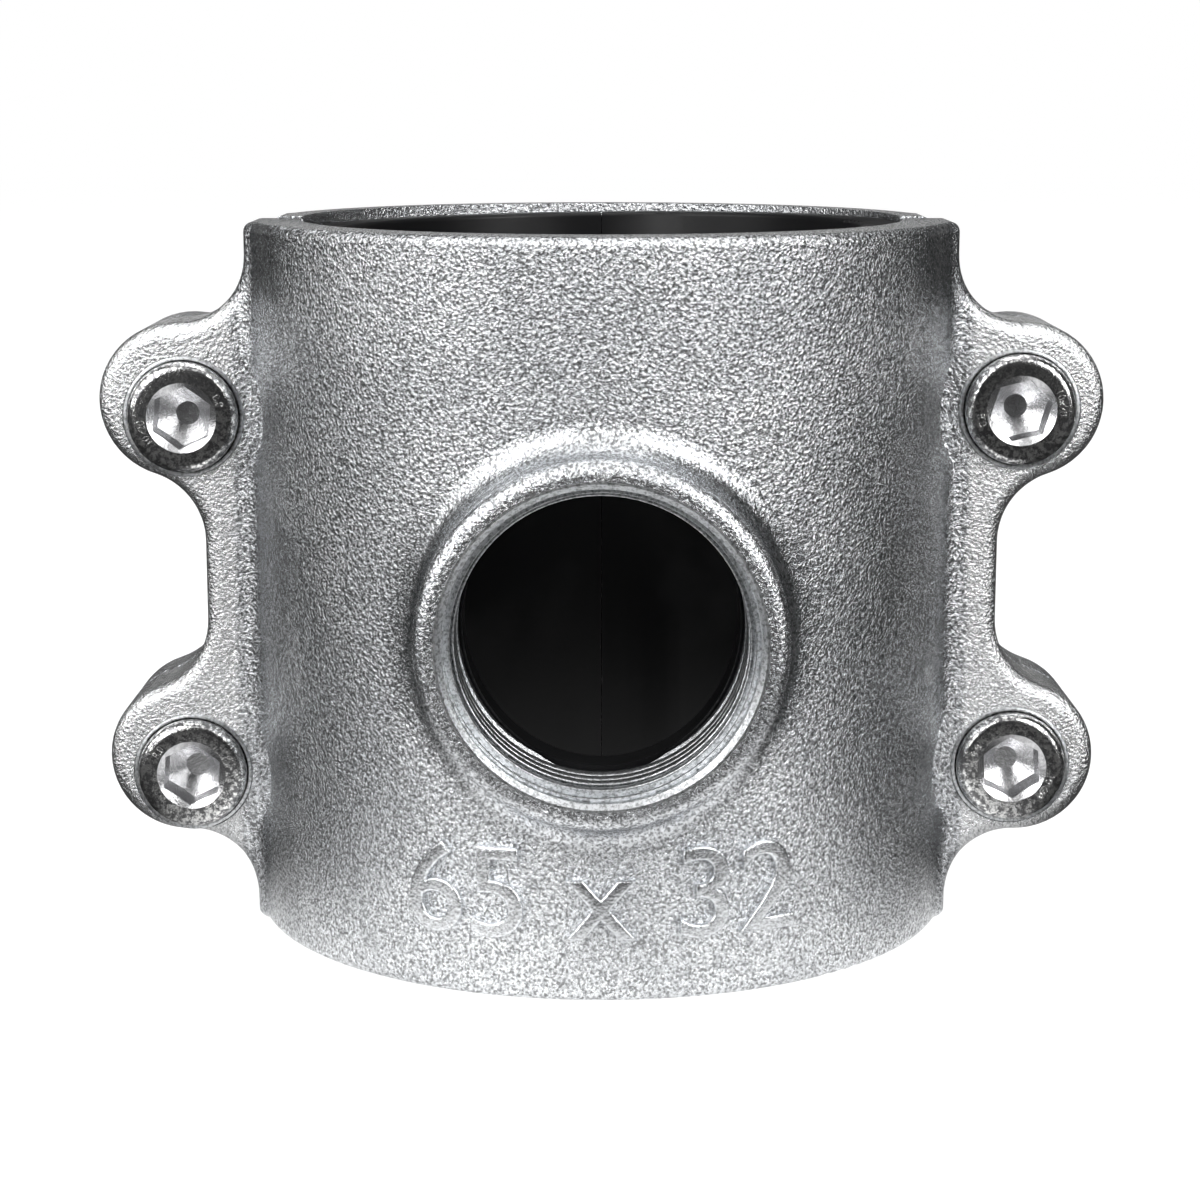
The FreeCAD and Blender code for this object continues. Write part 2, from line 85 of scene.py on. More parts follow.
# Small helpers for objects and meshes
def addObject(name, data):
    made = bpy.data.objects.new(name, data)
    bpy.context.scene.collection.objects.link(made)
    return made


def meshFrom(name, shape, sharpDegrees=38):
    # smooth faces, with the edges kept crisp where the surface turns sharply
    bmesh.ops.recalc_face_normals(shape, faces=shape.faces)
    for face in shape.faces:
        face.smooth = True
    for edge in shape.edges:
        edge.smooth = len(edge.link_faces) == 2 and edge.calc_face_angle(0) < math.radians(sharpDegrees)
    mesh = bpy.data.meshes.new(name)
    shape.to_mesh(mesh)
    shape.free()
    return mesh


def ringSurface(shape, rings, segments, middle=(0, 0, 0), loop=False):
    # joins rings of points round the Y axis, each a function from an angle to (radius, place on the axis);
    # a loop joins its last ring to its first, and any other surface is closed by a flat face at each end
    rows = []
    for ring in rings:
        row = []
        for step in range(segments):
            angle = 2 * math.pi * step / segments
            radius, along = ring(angle)
            point = Vector((radius * math.cos(angle), along, radius * math.sin(angle)))
            row.append(shape.verts.new(Vector(middle) + point))
        rows.append(row)
    for near, far in zip(rows, rows[1:] + rows[:1] if loop else rows[1:]):
        for step in range(segments):
            after = (step + 1) % segments
            shape.faces.new((near[step], near[after], far[after], far[step]))
    if not loop:
        shape.faces.new(rows[0])
        shape.faces.new(rows[-1])


def level(radius, along):
    return lambda angle: (radius, along)


# Raised text: a numeral's height as a share of the font's size, and the steps of its rounded edge
lettering = {"heightShare": 0.72, "roundSteps": 2}


def raisedText(text, height, thickness, rounding, strip, bold=0.0):
    # text that stands on z = 0 about the origin, cut into strips so that it bends smoothly
    curve = bpy.data.curves.new(text, "FONT")
    curve.body = text
    curve.align_x = "CENTER"
    curve.size = height / lettering["heightShare"]
    curve.extrude = thickness / 2 - rounding
    curve.bevel_depth = rounding
    curve.bevel_resolution = lettering["roundSteps"]
    curve.offset = bold - rounding
    flat = addObject(text + " maker", curve)
    mesh = bpy.data.meshes.new_from_object(flat.evaluated_get(bpy.context.evaluated_depsgraph_get()))
    bpy.data.objects.remove(flat)
    shape = bmesh.new()
    shape.from_mesh(mesh)
    bmesh.ops.remove_doubles(shape, verts=shape.verts, dist=mergeDistance)
    bmesh.ops.translate(shape, verts=shape.verts, vec=(0, -height / 2, thickness / 2))
    reach = max(abs(corner.co.x) for corner in shape.verts)
    for number in range(1, math.ceil(2 * reach / strip)):
        everything = shape.verts[:] + shape.edges[:] + shape.faces[:]
        bmesh.ops.bisect_plane(shape, geom=everything, plane_co=(number * strip - reach, 0, 0),
                               plane_no=(1, 0, 0))
    return shape


# Short calls for node trees, which the materials, the thread and the surroundings share
class Nodes:
    def __init__(self, tree):
        self.tree = tree

    def add(self, kind, inputs=None, **settings):
        # a new node; each input, by name or number, takes a link or a fixed value
        node = self.tree.nodes.new(kind)
        for name, setting in settings.items():
            setattr(node, name, setting)
        for name, source in (inputs or {}).items():
            self.feed(node.inputs[name], source)
        return node

    def feed(self, socket, source):
        if isinstance(source, bpy.types.NodeSocket):
            self.tree.links.new(source, socket)
        else:
            socket.default_value = source

    def math(self, operation, first, second=0.0, clamp=False):
        inputs = {0: first, 1: second}
        return self.add("ShaderNodeMath", inputs, operation=operation, use_clamp=clamp).outputs[0]

    def range(self, source, low, high, toLow=0.0, toHigh=1.0):
        # a soft step from one value to another while the source goes from low to high
        inputs = {"Value": source, "From Min": low, "From Max": high, "To Min": toLow, "To Max": toHigh}
        return self.add("ShaderNodeMapRange", inputs, interpolation_type="SMOOTHSTEP").outputs[0]

    # a Mix node has its numbers in sockets 2 and 3 and its colours in 6 and 7
    def mixNumber(self, share, first, second):
        return self.add("ShaderNodeMix", {0: share, 2: first, 3: second}, data_type="FLOAT").outputs[0]

    def mixColour(self, share, first, second):
        return self.add("ShaderNodeMix", {0: share, 6: first, 7: second}, data_type="RGBA").outputs[2]


class Shader(Nodes):
    # a material, whose patterns lie in the piece's own coordinates
    def __init__(self, name):
        self.material = bpy.data.materials.new(name)
        self.material.use_nodes = True
        super().__init__(self.material.node_tree)
        self.surface = self.tree.nodes["Principled BSDF"]
        self.place = self.add("ShaderNodeTexCoord").outputs["Object"]

    def feedSurface(self, inputs):
        for name, source in inputs.items():
            self.feed(self.surface.inputs[name], source)
        return self.material

    def noise(self, size, detail=2.0, roughness=0.5):
        # size is the width of one feature in metres
        inputs = {"Vector": self.place, "Scale": 1 / size, "Detail": detail, "Roughness": roughness}
        return self.add("ShaderNodeTexNoise", inputs).outputs["Fac"]

    def cells(self, size, smoothness=0.6):
        inputs = {"Vector": self.place, "Scale": 1 / size, "Smoothness": smoothness}
        return self.add("ShaderNodeTexVoronoi", inputs, feature="SMOOTH_F1").outputs["Distance"]

    def bump(self, height, distance, strength=1.0, normal=None):
        inputs = {"Height": height, "Distance": distance, "Strength": strength}
        if normal:
            inputs["Normal"] = normal
        return self.add("ShaderNodeBump", inputs).outputs["Normal"]

    def axes(self):
        return self.add("ShaderNodeSeparateXYZ", {0: self.place}).outputs

    def away(self, first, second):
        # distance from the origin of two coordinates
        squares = [self.math("MULTIPLY", value, value) for value in (first, second)]
        return self.math("SQRT", self.math("ADD", *squares))


# Galvanised casting: a coarse sand grain under bright zinc, with dark pits and specks
casting = {"grain": 0.5 * mm, "grainDetail": 4.0, "grainRoughness": 0.66, "grainHeight": 0.28 * mm,
           "noiseShare": 0.8, "cellShare": 0.4,
           "fineGrain": 0.3 * mm, "fineDetail": 3.0, "fineRoughness": 0.65, "fineHeight": 0.14 * mm,
           "fineStrength": 0.6,
           "zinc": (0.89, 0.905, 0.925, 1), "dull": (0.69, 0.705, 0.725, 1),
           "cloud": 22 * mm, "cloudDetail": 3.0, "cloudRange": (0.35, 0.7),
           "pits": (0.19, 0.196, 0.205, 1), "pitRange": (0.3, 0.72),
           "speck": 0.4 * mm, "speckDetail": 1.0, "speckTone": (0.26, 0.265, 0.27, 1),
           "speckRange": (0.36, 0.44),
           "roughness": 0.16, "dullRoughness": 0.27, "roughnessRange": (0.3, 0.7)}

# The front half has turned seats, a turned bore and smoother roots, and its flanges are painted lighter, a painted
# highlight in place of the light that falls on them. A pair says where a change begins and ends: beyond the
# thread's radius, along Y, off the middle plane or in the noise.
turned = {"tone": (0.74, 0.755, 0.77, 1), "dull": (0.33, 0.34, 0.345, 1), "dullRange": (0.36, 0.56),
          "roughness": 0.32, "seatRadius": 8.7 * mm, "seatBlend": 0.1 * mm,
          "boreBeyondThread": (1.1 * mm, 0.9 * mm), "boreDepth": (-41.0 * mm, -42.0 * mm)}
roots = {"outletOutside": 24.8 * mm, "outletRoot": 7.0 * mm, "outletEdge": 0.6 * mm, "outletGrain": 0.6,
         "wallSide": (43.0 * mm, 46.5 * mm), "flangeInside": (53.5 * mm, 51.5 * mm), "smoothShare": 0.3}
# painted highlight: a lighter tone laid on the flanges, off the middle plane, in place of the light on them
flangeLight = {"tone": (0.95, 0.955, 0.96, 1), "side": (52.5 * mm, 54.0 * mm), "share": 0.6}


def rootGrain(shader, x, fromOutlet):
    # share of the grain that is left on the smoother skin round the outlet's root and along the flanges
    outside = roots["outletOutside"]
    beyondRoot = shader.range(fromOutlet, outside, outside + roots["outletRoot"])
    onOutlet = shader.range(fromOutlet, outside, outside - roots["outletEdge"])
    onOutlet = shader.math("MULTIPLY", onOutlet, roots["outletGrain"])
    outletGrain = shader.math("MAXIMUM", beyondRoot, onOutlet)
    onSide = shader.math("MULTIPLY", shader.range(shader.math("ABSOLUTE", x), *roots["wallSide"]),
                         shader.range(shader.math("ABSOLUTE", x), *roots["flangeInside"]))
    sideGrain = shader.math("SUBTRACT", 1.0, shader.math("MULTIPLY", onSide, roots["smoothShare"]))
    return shader.math("MULTIPLY", outletGrain, sideGrain)


def turnedFaces(shader, x, y, z, fromOutlet):
    # 1 on the outlet's bore and on the screws' seats
    edges = [outletRadius + edge for edge in turned["boreBeyondThread"]]
    faces = shader.math("MULTIPLY", shader.range(fromOutlet, *edges), shader.range(y, *turned["boreDepth"]))
    blend = turned["seatBlend"]
    for place in screwPlaces.values():
        fromScrew = shader.away(shader.math("SUBTRACT", x, place.x), shader.math("SUBTRACT", z, place.z))
        seat = shader.range(fromScrew, turned["seatRadius"] + blend, turned["seatRadius"] - blend)
        faces = shader.math("MAXIMUM", faces, seat)
    return faces


def castingMaterial(name, front, relief=1.0):
    shader = Shader(name)
    coarse = shader.noise(casting["grain"], casting["grainDetail"], casting["grainRoughness"])
    grain = shader.math("ADD", shader.math("MULTIPLY", coarse, casting["noiseShare"]),
                        shader.math("MULTIPLY", shader.cells(casting["grain"]), casting["cellShare"]))
    fine = shader.noise(casting["fineGrain"], casting["fineDetail"], casting["fineRoughness"])
    cloud = shader.range(shader.noise(casting["cloud"], casting["cloudDetail"]), *casting["cloudRange"])
    tone = shader.mixColour(cloud, casting["zinc"], casting["dull"])
    # a lower relief leaves the pits and specks paler
    pits = shader.range(grain, *casting["pitRange"], 1 - relief)
    tone = shader.mixColour(pits, casting["pits"], tone)
    specks = shader.noise(casting["speck"], casting["speckDetail"])
    tone = shader.mixColour(shader.range(specks, *casting["speckRange"], 1 - relief), casting["speckTone"],
                            tone)
    roughness = shader.mixNumber(shader.range(fine, *casting["roughnessRange"]), casting["roughness"],
                                 casting["dullRoughness"])
    height = casting["grainHeight"] * relief
    if front:
        x, y, z = shader.axes()
        fromOutlet = shader.away(x, shader.math("SUBTRACT", z, outletPlace.z))
        faces = turnedFaces(shader, x, y, z, fromOutlet)
        # painted highlight: the flanges' colour is lightened towards their own tone where |x| reaches them
        flangeLightShare = shader.range(shader.math("ABSOLUTE", x), *flangeLight["side"], 0.0, flangeLight["share"])
        tone = shader.mixColour(flangeLightShare, tone, flangeLight["tone"])
        turnedTone = shader.mixColour(shader.range(coarse, *turned["dullRange"]), turned["dull"],
                                      turned["tone"])
        tone = shader.mixColour(faces, tone, turnedTone)
        roughness = shader.mixNumber(faces, roughness, turned["roughness"])
        height = shader.math("MULTIPLY", rootGrain(shader, x, fromOutlet), height)
        height = shader.math("MULTIPLY", shader.math("SUBTRACT", 1.0, faces, clamp=True), height)
    normal = shader.bump(grain, height)
    normal = shader.bump(fine, casting["fineHeight"], casting["fineStrength"] * relief, normal)
    return shader.feedSurface({"Base Color": tone, "Roughness": roughness, "Normal": normal,
                               "Metallic": 1.0})


# Sleeve rubber: black and smooth, with patches of duller bloom
rubber = {"colour": (0.004, 0.004, 0.0045, 1), "bloom": (0.007, 0.007, 0.0075, 1), "roughness": 0.4,
          "bloomRoughness": 0.55, "shine": 0.25, "cloud": 14 * mm, "cloudDetail": 4.0,
          "cloudRange": (0.45, 0.75), "skin": 0.5 * mm, "skinHeight": 0.02 * mm, "skinStrength": 0.5}


def rubberMaterial():
    shader = Shader("sleeve rubber")
    bloom = shader.range(shader.noise(rubber["cloud"], rubber["cloudDetail"]), *rubber["cloudRange"])
    skin = shader.noise(rubber["skin"])
    return shader.feedSurface({
        "Base Color": shader.mixColour(bloom, rubber["colour"], rubber["bloom"]),
        "Roughness": shader.mixNumber(bloom, rubber["roughness"], rubber["bloomRoughness"]),
        "Normal": shader.bump(skin, rubber["skinHeight"], rubber["skinStrength"]),
        "Specular IOR Level": rubber["shine"]})


# Bright zinc plate on the screws, with dull blotches, and evener in the sockets
plate = {"outside": {"colour": (0.89, 0.89, 0.88, 1), "dull": (0.21, 0.21, 0.215, 1), "roughness": 0.13,
                     "dullRoughness": 0.26},
         "socket": {"colour": (0.72, 0.72, 0.73, 1), "dull": (0.59, 0.59, 0.6, 1), "roughness": 0.27,
                    "dullRoughness": 0.27},
         "blotch": 0.7 * mm, "blotchDetail": 5.0, "blotchRoughness": 0.72, "blotchRange": (0.42, 0.56),
         "scuff": 0.4 * mm, "scuffDetail": 3.0, "scuffRoughness": 0.65, "scuffHeight": 0.05 * mm,
         "scuffStrength": 0.8}


def plateMaterial(name, finish):
    shader = Shader(name)
    blotches = shader.noise(plate["blotch"], plate["blotchDetail"], plate["blotchRoughness"])
    blotches = shader.range(blotches, *plate["blotchRange"])
    scuffs = shader.noise(plate["scuff"], plate["scuffDetail"], plate["scuffRoughness"])
    return shader.feedSurface({
        "Base Color": shader.mixColour(blotches, finish["colour"], finish["dull"]),
        "Roughness": shader.mixNumber(blotches, finish["roughness"], finish["dullRoughness"]),
        "Normal": shader.bump(scuffs, plate["scuffHeight"], plate["scuffStrength"]),
        "Metallic": 1.0})


# Thread ridge in Geometry Nodes: a spiral with a rounded tooth that runs out at both ends
threadInputs = {"Root radius": 0.02, "Pitch": 0.002, "Turns": 5.0, "Tooth height": 0.001,
                "Tooth crest": 0.0004, "Lead-in turns": 0.5, "Run-out turns": 0.5}
threadShape = {"pointsPerTurn": 72, "roundShare": 0.09, "roundSteps": 3, "leastScale": 0.05}


def threadTree(material):
    tree = bpy.data.node_groups.new("thread ridge", "GeometryNodeTree")
    for way in ("INPUT", "OUTPUT"):
        tree.interface.new_socket(name="Geometry", in_out=way, socket_type="NodeSocketGeometry")
    for name, value in threadInputs.items():
        tree.interface.new_socket(name=name, in_out="INPUT", socket_type="NodeSocketFloat")
        tree.interface.items_tree[name].default_value = value
    ridge = Nodes(tree)
    given = ridge.add("NodeGroupInput").outputs
    spiral = ridge.add("GeometryNodeCurveSpiral", {
        "Resolution": threadShape["pointsPerTurn"], "Rotations": given["Turns"],
        "Start Radius": given["Root radius"], "End Radius": given["Root radius"],
        "Height": ridge.math("MULTIPLY", given["Turns"], given["Pitch"])})
    upright = ridge.add("GeometryNodeSetCurveNormal", {"Curve": spiral.outputs[0]}, mode="Z_UP")
    tooth = ridge.add("GeometryNodeCurvePrimitiveQuadrilateral", {
        "Height": ridge.math("ABSOLUTE", given["Tooth height"]), "Bottom Width": given["Pitch"],
        "Top Width": given["Tooth crest"], "Offset": 0.0}, mode="TRAPEZOID")
    rounded = ridge.add("GeometryNodeFilletCurve", {
        "Curve": tooth.outputs[0], "Count": threadShape["roundSteps"], "Limit Radius": True,
        "Radius": ridge.math("MULTIPLY", given["Pitch"], threadShape["roundShare"])}, mode="POLY")
    # the tooth stands on the spiral, with its foot at the root radius; a negative height turns it inwards
    upended = ridge.add("GeometryNodeTransform", {
        "Geometry": rounded.outputs[0], "Rotation": (0, 0, math.pi / 2)})
    shift = ridge.add("ShaderNodeCombineXYZ", {"X": ridge.math("MULTIPLY", given["Tooth height"], -0.5)})
    moved = ridge.add("GeometryNodeTransform", {
        "Geometry": upended.outputs[0], "Translation": shift.outputs[0]})
    # it grows over the lead-in and shrinks again over the run-out
    travel = ridge.add("GeometryNodeSplineParameter").outputs["Factor"]
    turnsDone = ridge.math("MULTIPLY", travel, given["Turns"])
    turnsLeft = ridge.math("SUBTRACT", given["Turns"], turnsDone)
    fromStart = ridge.math("DIVIDE", turnsDone, given["Lead-in turns"])
    fromEnd = ridge.math("MINIMUM", ridge.math("DIVIDE", turnsLeft, given["Run-out turns"]), 1.0)
    scale = ridge.math("MAXIMUM", ridge.math("MINIMUM", fromStart, fromEnd), threadShape["leastScale"])
    sweep = ridge.add("GeometryNodeCurveToMesh", {
        "Curve": upright.outputs[0], "Profile Curve": moved.outputs[0], "Scale": scale, "Fill Caps": True})
    smooth = ridge.add("GeometryNodeSetShadeSmooth", {"Geometry": sweep.outputs[0]})
    realized = ridge.add("GeometryNodeRealizeInstances", {"Geometry": smooth.outputs[0]})
    painted = ridge.add("GeometryNodeSetMaterial", {"Geometry": realized.outputs[0], "Material": material})
    ridge.add("NodeGroupOutput", {"Geometry": painted.outputs[0]})
    return tree


def threadMesh(name, material, sizes, start):
    # the spiral rises along Z, and here it runs along +Y from its start
    tree = threadTree(material)
    maker = addObject(name + " maker", bpy.data.meshes.new(name))
    modifier = maker.modifiers.new("thread", "NODES")
    modifier.node_group = tree
    for item in tree.interface.items_tree:
        if item.in_out == "INPUT" and item.name in sizes:
            modifier[item.identifier] = sizes[item.name]
    bpy.context.view_layer.update()
    ready = maker.evaluated_get(bpy.context.evaluated_depsgraph_get())
    mesh = bpy.data.meshes.new_from_object(ready)
    maker.modifiers.remove(modifier)
    bpy.data.objects.remove(maker)
    mesh.name = name
    mesh.transform(Matrix.Translation(start) @ Matrix.Rotation(-math.pi / 2, 4, "X"))
    return mesh


# Outlet thread: its long lead-in gives the widening rings at the mouth
outletThread = {"pitch": 2.309 * mm, "turns": 5.6, "tooth": 1.48 * mm, "sunk": 0.1 * mm, "crest": 0.55 * mm,
                "leadIn": 2.2, "runOut": 0.35, "start": 0.3 * mm}


def makeOutletThread(material):
    start = outletPlace - Vector((0, outletLength / 2 + outletThread["start"], 0))
    mesh = threadMesh("outlet_thread", material, {
        "Root radius": outletRadius + outletThread["sunk"], "Pitch": outletThread["pitch"],
        "Turns": outletThread["turns"], "Tooth height": -outletThread["tooth"] - outletThread["sunk"],
        "Tooth crest": outletThread["crest"], "Lead-in turns": outletThread["leadIn"],
        "Run-out turns": outletThread["runOut"]}, start)
    thread = addObject("outlet_thread", mesh)
    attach(thread, "front_half")


# Socket head screws, each turned a little differently. Below the socket's hexagon is a cone with a flat
# floor, whose pole is the small ring in its middle, and above it is a wider mouth.
screw = {"headRadius": 8.0 * mm, "headHeight": 10.0 * mm, "headEdge": 1.4 * mm, "edgeSteps": 6,
         "underEdge": 0.15 * mm, "socketHalf": 4.0 * mm, "socketDepth": 5.2 * mm, "cone": 1.6 * mm,
         "floor": 1.7 * mm, "pole": 0.2 * mm, "mouth": 5.05 * mm, "mouthDepth": 0.6 * mm,
         "neck": 0.4 * mm, "shank": 4.95 * mm, "core": 4.1 * mm, "taper": 0.5 * mm, "tip": 0.3 * mm,
         "length": 20.0 * mm, "segments": 96, "sharpDegrees": 24,
         "twists": {"upper_left": -5.6, "upper_right": -16.7, "lower_left": -5.0, "lower_right": 3.8}}
screwThread = {"pitch": 1.5 * mm, "start": 1.6 * mm, "end": 0.8 * mm, "sunk": 0.05 * mm, "crest": 0.25 * mm,
               "leadIn": 0.6, "runOut": 0.6}
screwMark = {"degrees": {"8.8": 150.0, "10x20": -32.0}, "height": 1.15 * mm, "middle": 5.95 * mm,
             "raise": 0.1 * mm, "sunk": 0.1 * mm, "round": 0.04 * mm, "strip": 0.4 * mm,
             "turns": {"upper_left": -120.0, "upper_right": 60.0, "lower_left": 0.0, "lower_right": 0.0}}


def hexagonRadius(angle):
    # distance to the socket's wall; a corner points along +Z at a quarter turn
    within = (angle - math.pi / 2 + math.pi / 6) % (math.pi / 3) - math.pi / 6
    return screw["socketHalf"] / math.cos(math.pi / 6 - abs(within))


def screwRings():
    # from the middle of the socket's floor, over the head, to the tip; the head's underside is at 0
    face = screwMark["raise"] - screw["headHeight"]
    bottom = screw["socketDepth"] - screw["headHeight"]
    radius, edge, under = screw["headRadius"], screw["headEdge"], screw["underEdge"]
    corner = 2 * screw["socketHalf"] / math.sqrt(3)
    coneSlope = screw["cone"] / (corner - screw["floor"])
    mouthSlope = screw["mouthDepth"] / (screw["mouth"] - screw["socketHalf"])
    rings = [level(screw["pole"], bottom + screw["cone"]), level(screw["floor"], bottom + screw["cone"])]
    # the cone of the floor and the cone of the mouth both run out on the hexagon's walls
    rings.append(lambda angle: (hexagonRadius(angle), bottom + (corner - hexagonRadius(angle)) * coneSlope))
    rings.append(lambda angle: (hexagonRadius(angle),
                                face + (screw["mouth"] - hexagonRadius(angle)) * mouthSlope))
    rings += [level(screw["mouth"], face), level(radius - edge, face)]
    for step in range(1, screw["edgeSteps"] + 1):
        angle = math.pi / 2 * step / screw["edgeSteps"]
        rings.append(level(radius - edge + edge * math.sin(angle), face + edge - edge * math.cos(angle)))
    shank, core, neck, tip = screw["shank"], screw["core"], screw["neck"], screw["tip"]
    rings += [level(radius, -under), level(radius - under, 0.0), level(shank + neck, 0.0),
              level(shank, neck), level(shank, screwThread["start"] - screw["taper"]),
              level(core, screwThread["start"]), level(core, screw["length"] - tip),
              level(core - tip, screw["length"])]
    return rings


def screwMarks(name):
    # raised numerals on the head's face: their tops point outward, and they lie on the solid's own face
    shape = bmesh.new()
    for text, degrees in screwMark["degrees"].items():
        flat = raisedText(text, screwMark["height"], screwMark["raise"] + screwMark["sunk"],
                          screwMark["round"], screwMark["strip"])
        middle = math.radians(degrees + screwMark["turns"][name])
        for corner in flat.verts:
            angle = middle - corner.co.x / screwMark["middle"]
            radius = screwMark["middle"] + corner.co.y
            along = screwMark["raise"] + screwMark["sunk"] - screw["headHeight"] - corner.co.z
            corner.co = (radius * math.cos(angle), along, radius * math.sin(angle))
        piece = meshFrom(text, flat)
        shape.from_mesh(piece)
        bpy.data.meshes.remove(piece)
    return shape


def makeScrews(material, socketMaterial):
    rootRadius = screw["core"] - screwThread["sunk"]
    threadLength = screw["length"] - screwThread["start"] - screwThread["end"]
    ridge = threadMesh("screw_ridge", material, {
        "Root radius": rootRadius, "Pitch": screwThread["pitch"],
        "Turns": threadLength / screwThread["pitch"], "Tooth height": screw["shank"] - rootRadius,
        "Tooth crest": screwThread["crest"], "Lead-in turns": screwThread["leadIn"],
        "Run-out turns": screwThread["runOut"]}, (0, screwThread["start"], 0))
    for name, place in screwPlaces.items():
        shape = bmesh.new()
        ringSurface(shape, screwRings(), screw["segments"])
        mesh = meshFrom(name + "_screw_detail", shape, screw["sharpDegrees"])
        joined = screwMarks(name)
        joined.from_mesh(mesh)
        joined.from_mesh(ridge)
        joined.to_mesh(mesh)
        joined.free()
        mesh.materials.append(material)
        mesh.materials.append(socketMaterial)
        for face in mesh.polygons:
            # the socket's faces lie within its mouth and above the head's underside
            inSocket = math.hypot(face.center.x, face.center.z) < screw["mouth"] and face.center.y < 0
            face.material_index = 1 if inSocket else 0
        turn = Matrix.Rotation(math.radians(screw["twists"][name]), 4, (0, -1, 0))
        mesh.transform(Matrix.Translation(place) @ turn)
        made = addObject(name + "_screw_detail", mesh)
        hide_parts(name + "_screw")
        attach(made, name + "_fastener")


# Smooth lip of zinc round each head, on the step at its seat's mouth. Its profile gives the radius and the
# place along the axis from that step, in millimetres.
seatLip = {"place": -7.4 * mm, "sharpDegrees": 50,
           "profile": ((8.06, 0.3), (8.06, -0.15), (8.2, -0.35), (8.6, -0.35),
                       (8.76, -0.2), (8.76, -0.02), (8.32, 0.0), (8.32, 0.3))}


def makeSeatLips(material):
    shape = bmesh.new()
    rings = [level(radius * mm, seatLip["place"] + along * mm) for radius, along in seatLip["profile"]]
    for place in screwPlaces.values():
        ringSurface(shape, rings, screw["segments"], place, loop=True)
    mesh = meshFrom("seat_lips", shape, seatLip["sharpDegrees"])
    mesh.materials.append(material)
    made = addObject("seat_lips", mesh)
    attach(made, "front_half")


# Rubber sleeve: the solid's own form, with its top edge a little askew and its slit nearly closed
sleeve = {"leftDrop": 1.0 * mm, "rightDrop": 0.1 * mm, "edge": 1.0 * mm, "slitReach": 0.204 * mm,
          "slitSeen": 0.3}


def makeSleeve(material):
    low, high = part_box("sealing_sleeve")
    shape = bmesh.new()
    shape.from_mesh(nodes["sealing_sleeve"].data)
    bmesh.ops.remove_doubles(shape, verts=shape.verts, dist=mergeDistance)
    for corner in shape.verts:
        if corner.co.z > high.z - sleeve["edge"]:
            share = (corner.co.x - low.x) / (high.x - low.x)
            corner.co.z -= sleeve["leftDrop"] + share * (sleeve["rightDrop"] - sleeve["leftDrop"])
        if corner.co.y > 0 and abs(corner.co.x) < sleeve["slitReach"]:
            corner.co.x *= sleeve["slitSeen"]
    mesh = meshFrom("rubber_sleeve", shape)
    mesh.materials.append(material)
    made = addObject("rubber_sleeve", mesh)
    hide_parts("sealing_sleeve")
    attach(made, "front_half")


# Raised size numerals on the wall below the outlet: plain nominal bores, less grained than the casting
figures = {"text": "65 x 32", "height": 13.0 * mm, "middle": 15.6 * mm, "raise": 1.1 * mm,
           "sunk": 0.3 * mm, "round": 0.35 * mm, "bold": 0.15 * mm, "strip": 1.2 * mm, "wall": 51.7 * mm,
           "sharpDegrees": 50, "relief": 0.35}


def makeFigures(material):
    shape = raisedText(figures["text"], figures["height"], figures["raise"] + figures["sunk"],
                       figures["round"], figures["strip"], figures["bold"])
    for corner in shape.verts:
        angle = corner.co.x / figures["wall"]
        out = figures["wall"] - figures["sunk"] + corner.co.z
        up = figures["middle"] + corner.co.y
        corner.co = (out * math.sin(angle), -out * math.cos(angle), up)
    mesh = meshFrom("size_figures", shape, figures["sharpDegrees"])
    mesh.materials.append(material)
    made = addObject("size_figures", mesh)
    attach(made, "front_half")


# Pale floor. The camera sees it white all over, and metal sees it so only under and behind the part: in
# front and at the sides it is dark for every other ray. Pairs are where a change begins and ends.
floor = {"reach": 3.0, "tone": 0.9, "dimTone": 0.04, "dimFront": (-0.06, -0.11), "dimSide": (0.04, 0.08),
         "roughness": 0.9, "shine": 0.1, "glowShare": 0.8, "glowStrength": 1.23}


def makeFloor():
    shape = bmesh.new()
    reach = floor["reach"]
    shape.faces.new([shape.verts.new((x, y, 0)) for x, y in ((-reach, -reach), (reach, -reach),
                                                             (reach, reach), (-reach, reach))])
    made = addObject("floor", meshFrom("floor", shape))
    shader = Shader("pale floor")
    rays = shader.add("ShaderNodeLightPath").outputs
    x, y = shader.axes()[:2]
    dim = shader.math("MAXIMUM", shader.range(y, *floor["dimFront"]),
                      shader.range(shader.math("ABSOLUTE", x), *floor["dimSide"]))
    seen = shader.math("MAXIMUM", rays["Is Glossy Ray"], rays["Is Transmission Ray"])
    seen = shader.math("MULTIPLY", seen, shader.math("SUBTRACT", 1.0, dim))
    seen = shader.math("MAXIMUM", rays["Is Camera Ray"], seen)
    tone = shader.mixNumber(dim, floor["tone"], floor["dimTone"])
    tone = shader.mixNumber(rays["Is Camera Ray"], tone, floor["tone"])
    shader.feedSurface({"Base Color": tone, "Roughness": floor["roughness"],
                        "Specular IOR Level": floor["shine"]})
    glow = shader.add("ShaderNodeEmission", {"Color": (1, 1, 1, 1), "Strength": floor["glowStrength"]})
    share = shader.math("MULTIPLY", seen, floor["glowShare"])
    blend = shader.add("ShaderNodeMixShader", {0: share, 1: shader.surface.outputs[0], 2: glow.outputs[0]})
    shader.feed(shader.tree.nodes["Material Output"].inputs["Surface"], blend.outputs[0])
    made.data.materials.append(shader.material)


# White surroundings for the camera, which metal sees only behind the part and low down. Every other ray
# meets a weak glow, stronger behind the part. Pairs are components of a ray's direction.
surroundings = {"frontGlow": 0.03, "backGlow": 0.1, "back": (-0.25, 0.55), "seenBehind": (0.85, 0.97),
                "seenLow": (0.02, 0.12)}


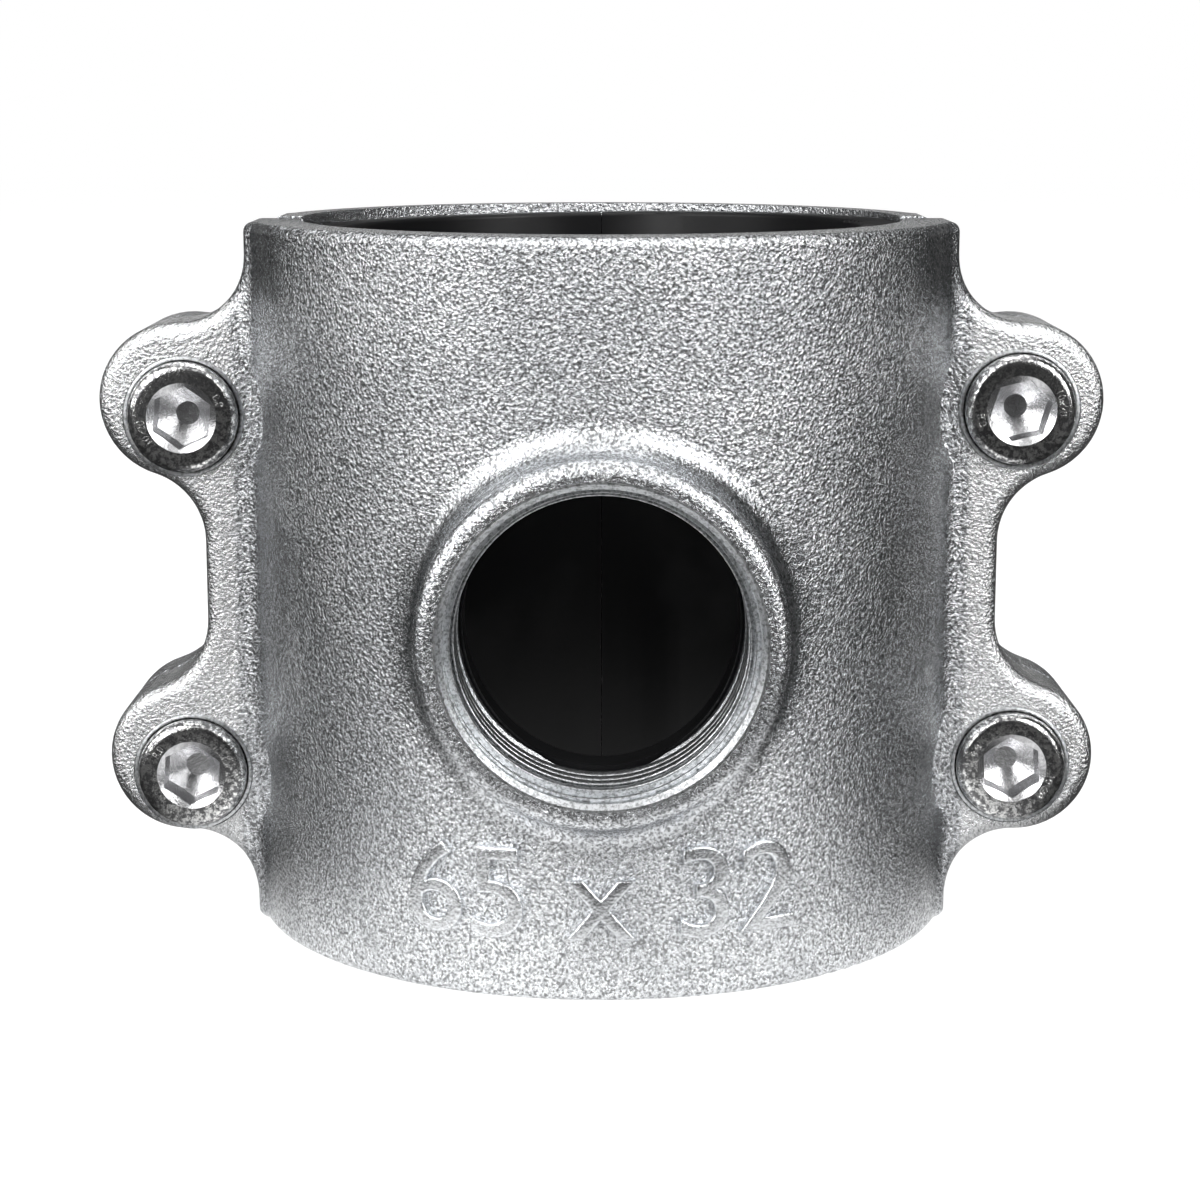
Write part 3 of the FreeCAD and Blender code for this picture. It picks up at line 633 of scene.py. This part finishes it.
def makeWorld():
    world = bpy.data.worlds.new("studio")
    bpy.context.scene.world = world
    world.use_nodes = True
    studio = Nodes(world.node_tree)
    rays = studio.add("ShaderNodeLightPath").outputs
    generated = studio.add("ShaderNodeTexCoord").outputs["Generated"]
    direction = studio.add("ShaderNodeSeparateXYZ", {0: generated}).outputs
    behind = studio.range(direction["Y"], *surroundings["seenBehind"])
    low = studio.range(direction["Z"], *surroundings["seenLow"], 1.0, 0.0)
    seen = studio.math("MAXIMUM", rays["Is Glossy Ray"], rays["Is Transmission Ray"])
    seen = studio.math("MULTIPLY", studio.math("MULTIPLY", seen, behind), low)
    seen = studio.math("MAXIMUM", seen, rays["Is Camera Ray"])
    weak = studio.range(direction["Y"], *surroundings["back"], surroundings["frontGlow"],
                        surroundings["backGlow"])
    back = studio.tree.nodes["Background"]
    studio.feed(back.inputs["Color"], (1, 1, 1, 1))
    studio.feed(back.inputs["Strength"], studio.mixNumber(seen, weak, 1.0))


# Soft studio light: tall softboxes stand left and right of the camera, so that metal which faces it
# squarely stays dark. Each lamp has its place, width, height and power.
lampAim = (0.0, 0.0, 0.05)
lamps = {"left": ((-0.56, -0.77, 0.56), 0.42, 0.85, 7.2),
         "side": ((-0.88, -0.32, 0.56), 0.40, 0.85, 3.9),
         "right": ((0.68, -0.67, 0.56), 0.42, 0.85, 9.3),
         "top": ((0.0, -0.6, 0.95), 0.8, 0.5, 1.1),
         "above": ((0.0, 0.1, 1.0), 0.7, 0.6, 4.5)}


def makeLamps():
    for name, (place, width, height, watts) in lamps.items():
        data = bpy.data.lights.new(name + " light", "AREA")
        data.shape = "RECTANGLE"
        data.size = width
        data.size_y = height
        data.energy = watts
        lamp = addObject(name + " light", data)
        lamp.location = place
        lamp.rotation_euler = (Vector(lampAim) - Vector(place)).to_track_quat("-Z", "Y").to_euler()


makeCamera()
makeFloor()
makeWorld()
makeLamps()
print("camera and studio ready")
frontFinish = castingMaterial("galvanised front", True)
rearFinish = castingMaterial("galvanised rear", False)
for nodeName, finish in (("front_shell", frontFinish), ("rear_shell", rearFinish)):
    nodes[nodeName].data.materials.clear()
    nodes[nodeName].data.materials.append(finish)
makeSleeve(rubberMaterial())
print("shells and sleeve finished")
makeOutletThread(castingMaterial("galvanised thread", True))
makeFigures(castingMaterial("galvanised figures", False, figures["relief"]))
print("outlet thread and figures made")
makeScrews(plateMaterial("screw zinc plate", plate["outside"]),
           plateMaterial("screw socket", plate["socket"]))
makeSeatLips(frontFinish)
print("screws made")
